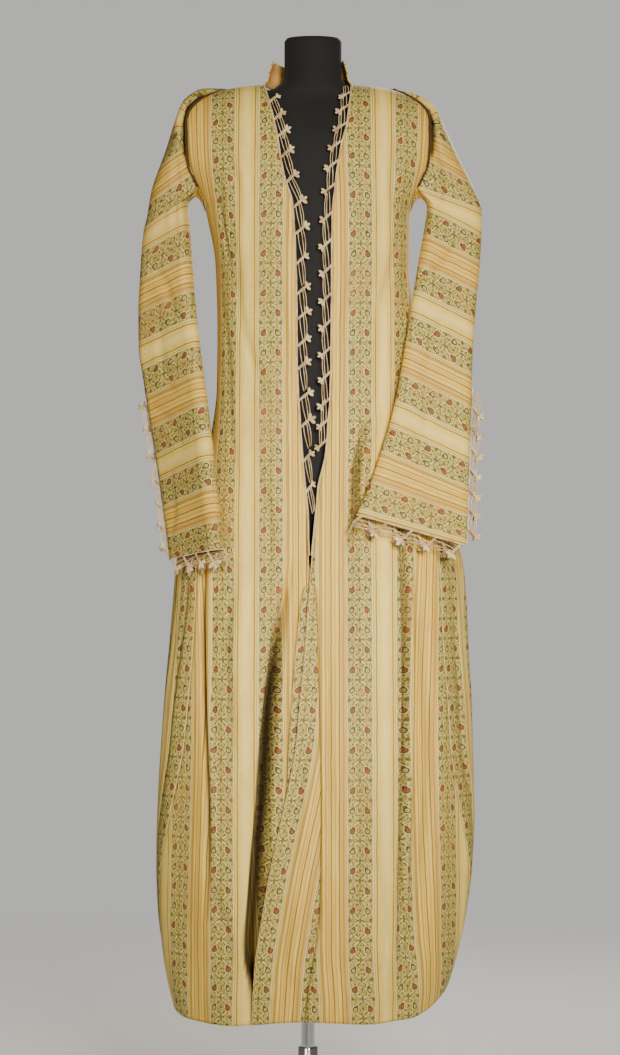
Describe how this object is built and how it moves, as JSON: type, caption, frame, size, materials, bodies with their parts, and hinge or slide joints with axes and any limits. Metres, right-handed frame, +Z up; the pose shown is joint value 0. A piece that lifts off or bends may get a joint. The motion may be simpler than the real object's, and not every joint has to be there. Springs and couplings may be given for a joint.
{
  "type": "entari robe on a dress form",
  "caption": "Long open-fronted Ottoman robe of striped cloth with needle-lace edges and slit sleeves, on a limbless dress form with a rod and round base.",
  "frame": {"origin": "on the floor, at the centre of the stand's round base and on its rod's axis", "axes": "+Z up along the rod, -Y to the robe's front, +X to the wearer's left"},
  "size_m": [0.55, 0.36, 1.731],
  "materials": {
    "cloth": "satin stripes, matt",
    "lace": "twisted thread, matt",
    "jersey": "matt black cover",
    "chrome": "polished"
  },
  "bodies": {
    "root": {"front_right": "cloth", "front_left": "cloth", "front_gore_right": "cloth", "front_gore_left": "cloth", "back_right": "cloth", "back_left": "cloth", "side_gore_right": "cloth", "side_gore_left": "cloth", "sleeve_right": "cloth", "sleeve_left": "cloth", "gusset_right": "cloth", "gusset_left": "cloth", "collar": "cloth", "lace_front_right": "lace", "lace_front_left": "lace", "lace_slit_front_right": "lace", "lace_slit_back_right": "lace", "lace_cuff_right": "lace", "lace_slit_front_left": "lace", "lace_slit_back_left": "lace", "lace_cuff_left": "lace", "form": "jersey", "pole": "chrome", "socket": "chrome", "base": "chrome"}
  },
  "joints": []
}
